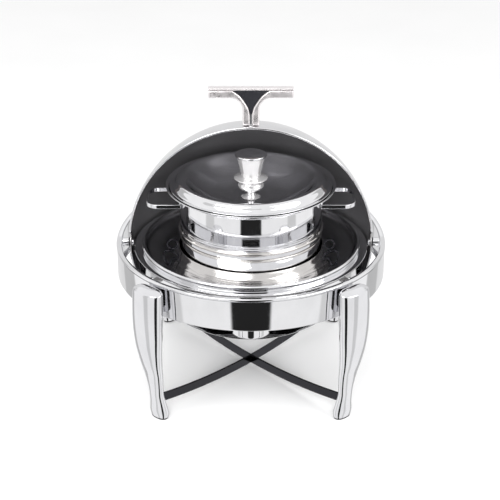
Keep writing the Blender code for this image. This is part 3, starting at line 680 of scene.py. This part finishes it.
def pressed_open(points, thick):
    """A bar of even thickness under a flat path, with square ends."""
    last = len(points) - 1
    under = []
    for i, point in enumerate(points):
        run = Vector(points[min(i + 1, last)]) - Vector(points[max(i - 1, 0)])
        normal = Vector((-run.y, run.x)).normalized()
        under.append(tuple(Vector(point) + normal * thick))
    return list(points) + under[::-1]


# Roll top, modelled closed about the hinge axis, then turned back to its open stop


def cover_place():
    return Matrix.Translation((0, 0, HINGE_Z)) @ Matrix.Rotation(-COVER_OPEN, 4, "X")


def cover_point(radius, tilt, swing):
    """A point of the cover: swing runs from pole to pole, tilt from the front over the top."""
    ring = radius * sin(swing)
    return Vector((-radius * cos(swing), -ring * cos(tilt), ring * sin(tilt)))


def cover_patch(outer_r, thick, tilts, swings):
    """A piece of a spherical shell, as rings from pole to pole."""
    rings = []
    for swing in swings:
        outer = [cover_point(outer_r, tilt, swing) for tilt in tilts]
        inner = [cover_point(outer_r - thick, tilt, swing) for tilt in reversed(tilts)]
        rings.append(outer + inner)
    return skin(rings, strip_ends=True)


def add_cover(finish):
    place = cover_place()
    swings = sector(POLE_CUT, pi - POLE_CUT, 128)
    shell = cover_patch(COVER_R, COVER_WALL, sector(COVER_FRONT, COVER_REAR, 120), swings)
    middle_r = COVER_R - COVER_WALL / 2
    for face in shell.faces:
        face.material_index = face.calc_center_median().length < middle_r
    stand_in("roll_top_shell", shell, [finish["mirror"], finish["inside"]], place)
    clear = (pi - 2 * POLE_CUT) / 11  # the band stops short of the hinge plates
    band_swings = sector(POLE_CUT + clear, pi - POLE_CUT - clear, 112)
    band_tilts = sector(COVER_FRONT, COVER_FRONT + EDGE_BAND_WIDTH, 8)
    band = cover_patch(COVER_INNER_R - GAP, EDGE_BAND_THICK, band_tilts, band_swings)
    stand_in("roll_top_edge_band", band, [finish["edge"]], place)
    add_trims(finish, place, middle_r)
    inner = HINGE_PLATE_OUTER - HINGE_PLATE_THICK
    plate = collar_outline(PIN_HOLE_R, HINGE_PLATE_R, inner, HINGE_PLATE_OUTER, 0.0006)
    for name, side in SIDES:
        disc = turned(plate, SMALL_STEPS)
        stand_in(f"hinge_plate_{name}", disc, [finish["satin"]], place @ along_x(side))
    add_cover_handle(finish, place)


def add_trims(finish, place, middle_r):
    """A round wire along each edge of the shell, from one hinge plate to the other."""
    cut = asin((HINGE_PLATE_R + TRIM_R + 2 * GAP) / middle_r)
    for node, tilt, sense in (
        ("roll_top_front_trim", COVER_FRONT, -1),
        ("roll_top_rear_trim", COVER_REAR, 1),
    ):
        side = Vector((0, sin(tilt), cos(tilt)))
        edge = [cover_point(middle_r, tilt, swing) for swing in sector(cut, pi - cut, 128)]
        outs = [point.normalized() for point in edge]
        centres = [point + side * sense * (TRIM_R + GAP) for point in edge]
        wire = tube(centres, outs, [side] * len(edge), TRIM_R, 14)
        stand_in(node, wire, [finish["mirror"]], place)


def add_cover_handle(finish, place):
    """Two bent arms with a filler between them, a flat bar on top and a screw at the foot."""
    reach, depth, bar_thick, arm_thick = 0.062, 0.020, 0.0035, 0.012
    tilt = COVER_FRONT + (0.007 + depth / 2) / COVER_R
    outwards = place @ Matrix.Rotation(-tilt, 4, "X")
    place_handle = outwards @ Matrix.Translation((0, -COVER_R, 0)) @ Matrix.Diagonal((1, -1, 1, 1))
    half = highest("handle_top_bar").x
    inside, base, top = 0.0018, 2 * GAP, reach - bar_thick - GAP
    outside = inside + arm_thick
    bend = 0.020
    centre = (outside + bend, top - bend - arm_thick)
    under = [(centre[0] + bend * cos(a), centre[1] + bend * sin(a)) for a in sector(pi, pi / 2, 24)]
    crotch = [(inside, top - 0.040), (0.004, top - 0.030), (0.0086, top - 0.0215)]
    over = curved(crotch + [(0.016, top - 0.011), (0.024, top - 0.004), (0.030, top)], 6)
    outline = [(inside, base), (outside, base)] + under
    outline += [(half, top - arm_thick), (half, top)] + over[::-1]
    for name, side in SIDES:
        arm = extruded([(side * x, y) for x, y in outline], -depth / 2, depth / 2)
        stand_in(f"handle_arm_{name}", arm, [finish["handle"]], place_handle, bevel=0.0024)
    low = reach - bar_thick
    bar = extruded([(-half, low), (half, low), (half, reach), (-half, reach)], -depth / 2, depth / 2)
    stand_in("handle_top_bar", bar, [finish["handle"]], place_handle, bevel=0.0016)
    ceiling = low - GAP
    right = [(x - 0.0004, y + 0.0004) for x, y in over[:-1]] + [(over[-1][0] - 0.001, ceiling)]
    left = [(-x, y) for x, y in right]
    root = base + 0.002
    sides = [(0.0012, root)] + right + left[::-1] + [(-0.0012, root)]
    web = extruded(sides, -depth / 2 + 0.002, depth / 2 - 0.002)
    stand_in("handle_web", web, [finish["black"]], place_handle, bevel=0.0004)
    screw_tilt = COVER_FRONT + 0.0035 / COVER_R
    screw_at = place @ Matrix.Rotation(pi / 2 - screw_tilt, 4, "X")
    screw_at = screw_at @ Matrix.Translation((0, 0, COVER_R + GAP))
    stand_in("handle_screw", screw_head(0.0028, 0.0017), [finish["mirror"]], screw_at)


# Soup pot, its lid and knob


def add_pot(finish):
    base = lowest("soup_pot").z
    rim_r = highest("soup_pot").x
    top = POT_TOP_Z - SHEET
    floor = rounded([(0, base), (POT_BASE_R, base), (POT_NECK_R, RIM_Z)], 0.009, steps=8)
    wall = [(POT_NECK_R, RIM_Z + 0.032), (POT_R - 0.0010, RIM_Z + 0.036), (POT_R, top - 0.011)]
    wall += [(POT_R + 0.004, top - 0.0055), (rim_r - 0.004, top - 0.0015), (rim_r, top)]
    path = floor[:-1] + rounded([floor[-1]] + wall, 0.003)
    stand_in("soup_pot", turned(pressed(path, SHEET)), [finish["mirror"]])
    for node, edge, heights in (
        ("pot_ledge_ring", POT_LEDGE_R, (0.0215, 0.0220, 0.0258, 0.0275)),
        ("pot_lower_bead", POT_BEAD_R, (0.009, 0.0100, 0.0135, 0.0145)),
    ):
        neck = POT_NECK_R + GAP
        ring = [(r, RIM_Z + z) for r, z in zip((neck, edge, edge, neck), heights)]
        stand_in(node, turned(rounded(ring, 0.0015, closed=True)), [finish["warm"]])
    for name, side in SIDES:
        add_pot_handle(name, side, finish)


def add_pot_handle(name, side, finish):
    """A flat strap bent into a D, riveted to the wall at both ends."""
    low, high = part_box(f"pot_handle_{name}")
    half, reach, thick = high.y, max(abs(low.x), abs(high.x)), POT_HANDLE_THICK
    corner = 0.020
    wall_x = sqrt((POT_R + 0.0004) ** 2 - (half - thick) ** 2)
    outer, inner = [(wall_x, -half)], [(wall_x, -half + thick)]
    for mid_y, start in ((-half + corner, -pi / 2), (half - corner, 0)):
        for angle in sector(start, start + pi / 2, 16):
            c, s = cos(angle), sin(angle)
            outer.append((reach - corner + corner * c, mid_y + corner * s))
            inner.append((reach - corner + (corner - thick) * c, mid_y + (corner - thick) * s))
    outer.append((wall_x, half))
    inner.append((wall_x, half - thick))
    outline = [(side * x, y) for x, y in outer + inner[::-1]]
    strap = extruded(outline, low.z, high.z)
    stand_in(f"pot_handle_{name}", strap, [finish["cast"]], bevel=0.0009)
    for end, y in (("front", -1), ("rear", 1)):
        across = (half - thick - RIVET_R - 0.002) * y
        azimuth = atan2(across, side * POT_R)
        rivet_at = Matrix.Translation((0, 0, (low.z + high.z) / 2)) @ Matrix.Rotation(azimuth, 4, "Z")
        rivet_at = rivet_at @ Matrix.Rotation(pi / 2, 4, "Y") @ Matrix.Translation((0, 0, POT_R + GAP))
        dome = curved([(RIVET_R, 0.0004), (RIVET_R * 0.75, 0.0015), (0, 0.0022)], 5)
        head = turned([(0, 0), (RIVET_R, 0)] + dome, 32)
        stand_in(f"handle_rivet_{name}_{end}", head, [finish["mirror"]], rivet_at)


def add_pot_lid(finish):
    lid_r = highest("pot_lid").x
    edge = POT_TOP_Z + 0.0004
    shoulder_r, shoulder = 0.115, edge + 0.0105
    middle = edge - 0.025
    path = [(lid_r, edge), (lid_r - 0.005, edge), (lid_r - 0.009, edge + 0.003)]
    path += [(shoulder_r + 0.006, shoulder - 0.0018), (shoulder_r, shoulder)]
    path += [(shoulder_r - 0.007, shoulder - 0.002), (0.095, edge - 0.0040)]
    path += [(0.075, edge - 0.016), (0.055, edge - 0.022), (0.030, middle), (0.010, middle), (0, middle)]
    stand_in("pot_lid", turned(pressed(curved(path, 8), SHEET)), [finish["mirror"]])
    add_knob(finish, middle + GAP)


def add_knob(finish, foot):
    """A flared stem, a turned knob with a ball, flange and cone, and a cap."""
    stem_top = foot + 0.0115
    stem = [(0.016, foot), (0.0115, foot + 0.002), (0.007, foot + 0.006), (0.0052, stem_top)]
    stem = [(0, foot)] + curved(stem, 6) + [(0, stem_top)]
    stand_in("knob_stem", turned(stem, 96), [finish["knob"]])
    low = stem_top + GAP
    ball, flange_r, cap_r = 0.0215, 0.028, 0.026
    flange_z = low + 0.0205
    cone_top = flange_z + 0.039
    globe = [(ball * 0.45, low), (ball * 0.85, low + 0.0035), (ball, low + 0.009)]
    globe += [(ball * 0.9, low + 0.0145), (ball * 0.66, low + 0.018)]
    rim = [(flange_r - 0.002, flange_z), (flange_r, flange_z + 0.0008), (flange_r, flange_z + 0.0022)]
    rim += [(flange_r - 0.002, flange_z + 0.003), (0.0165, flange_z + 0.0055)]
    cone = [(0.0165, flange_z + 0.008), (0.0235, cone_top), (0, cone_top)]
    knob = [(0, low)] + curved(globe, 6) + rounded(rim + cone, 0.0012)
    stand_in("lid_knob", turned(knob, 96), [finish["knob"]])
    cap_z = cone_top + GAP
    cap = [(0, cap_z), (cap_r, cap_z), (cap_r, cap_z + 0.0035), (cap_r - 0.006, cap_z + 0.005)]
    cap = rounded(cap + [(0, cap_z + 0.0055)], 0.0015)
    stand_in("knob_cap", turned(cap, 96), [finish["mirror"]])


# Studio and camera


def add_floor():
    """A wide pale floor. Metal reflects the studio's even light in its place."""
    data = bmesh.new()
    bmesh.ops.create_circle(data, cap_ends=True, segments=96, radius=9)
    mesh = bpy.data.meshes.new("floor")
    data.to_mesh(mesh)
    data.free()
    floor = bpy.data.objects.new("floor", mesh)
    bpy.context.scene.collection.objects.link(floor)
    material, tree, shader = principled("floor_paper", (0.93, 0.93, 0.93), 0, 0.9)
    tinted(tree, noise(tree, 3, 2), (0.92, 0.92, 0.92), (0.94, 0.94, 0.94), shader.inputs["Base Color"])
    mesh.materials.append(material)
    floor.visible_glossy = False


STUDIO_TONES = (
    # azimuth from the front in degrees, brightness from there on
    (0, 0.02),
    (17, 0.95),
    (62, 0.7),
    (78, 1.0),
    (118, 0.55),
    (140, 0.8),
)


def maths(tree, operation, first, second=None):
    """A Math node on a link, and on a second link or number."""
    node = tree.nodes.new("ShaderNodeMath")
    node.operation = operation
    tree.links.new(first, node.inputs[0])
    if isinstance(second, (int, float)):
        node.inputs[1].default_value = second
    elif second is not None:
        tree.links.new(second, node.inputs[1])
    return node.outputs[0]


def blended(tree, factor, first, tone):
    """From a colour to an even grey, by the factor."""
    node = tree.nodes.new("ShaderNodeMix")
    node.data_type = "RGBA"
    node.inputs["B"].default_value = (tone, tone, tone, 1)
    tree.links.new(factor, node.inputs["Factor"])
    tree.links.new(first, node.inputs["A"])
    return node.outputs["Result"]


def add_walls(tree, turn):
    """The walls' brightness by the direction, as a share of the way from front to back."""
    walls = tree.nodes.new("ShaderNodeValToRGB")
    walls.color_ramp.interpolation = "LINEAR"
    stops = walls.color_ramp.elements
    stops.remove(stops[1])
    blur = 0.006
    before = None
    for degrees, tone in STUDIO_TONES:
        stop = stops[0] if before is None else stops.new(degrees / 180 + blur)
        stop.color = (tone, tone, tone, 1)
        if before is not None:
            stops.new(degrees / 180 - blur).color = (before, before, before, 1)
        before = tone
    tree.links.new(turn, walls.inputs["Fac"])
    return walls.outputs["Color"]


def add_studio():
    """Walls all round with a dark gap in front, under a white ceiling. The camera sees white."""
    world = bpy.data.worlds.new("studio")
    bpy.context.scene.world = world
    world.use_nodes = True
    tree = world.node_tree
    background = tree.nodes["Background"]
    place = tree.nodes.new("ShaderNodeTexCoord")
    split = tree.nodes.new("ShaderNodeSeparateXYZ")
    tree.links.new(place.outputs["Generated"], split.inputs["Vector"])
    side = maths(tree, "ABSOLUTE", split.outputs["X"])
    ahead = maths(tree, "MULTIPLY", split.outputs["Y"], -1)
    turn = maths(tree, "DIVIDE", maths(tree, "ARCTAN2", side, ahead), pi)
    overhead = tree.nodes.new("ShaderNodeMapRange")
    overhead.inputs["From Min"].default_value = sin(radians(32))
    overhead.inputs["From Max"].default_value = sin(radians(38))
    tree.links.new(split.outputs["Z"], overhead.inputs["Value"])
    room = blended(tree, overhead.outputs["Result"], add_walls(tree, turn), 1)
    ray = tree.nodes.new("ShaderNodeLightPath")
    seen = blended(tree, ray.outputs["Is Camera Ray"], room, 0.95)
    tree.links.new(seen, background.inputs["Color"])
    background.inputs["Strength"].default_value = 1.0


def add_soft_light(name, place, aim, size, power):
    light = bpy.data.lights.new(name, "AREA")
    light.shape = "RECTANGLE"
    light.size, light.size_y = size
    light.energy = power
    lamp = bpy.data.objects.new(name, light)
    lamp.location = place
    lamp.rotation_euler = (Vector(aim) - Vector(place)).to_track_quat("-Z", "Y").to_euler()
    bpy.context.scene.collection.objects.link(lamp)
    return lamp


def add_camera():
    """The photograph's view: 25 degrees down from the front, 2.2 m from the middle of the rim."""
    data = bpy.data.cameras.new("camera")
    camera = bpy.data.objects.new("camera", data)
    bpy.context.scene.collection.objects.link(camera)
    elevation = radians(25)
    distance = 2.2
    aim = Vector((0, 0, RIM_Z))
    back = Vector((0, -cos(elevation), sin(elevation)))
    camera.location = aim + back * distance
    camera.rotation_euler = (-back).to_track_quat("-Z", "Y").to_euler()
    data.lens = 94.3
    data.sensor_width = 36
    data.shift_x = -0.0018
    data.shift_y = -0.0248
    data.clip_start, data.clip_end = 0.1, 40
    bpy.context.scene.camera = camera


def build():
    finish = make_finishes()
    add_band(finish)
    add_legs(finish)
    add_braces(finish)
    add_hinges(finish)
    add_pan_support(finish)
    add_water_pan(finish)
    add_adaptor_plate(finish)
    add_burner(finish)
    add_cover(finish)
    add_pot(finish)
    add_pot_lid(finish)
    add_floor()
    add_studio()
    add_soft_light("key", (-0.9, -1.2, 2.2), (0, 0, 0.2), (1.6, 1.2), 22)
    add_soft_light("fill", (1.4, -0.8, 1.5), (0, 0, 0.2), (1.2, 1.2), 12)
    front = add_soft_light("front", (0, -1.6, 0.75), (0, 0.1, 0.38), (1.0, 0.7), 22)
    front.visible_glossy = False
    add_camera()
    bpy.context.scene.view_settings.view_transform = "Standard"


build()
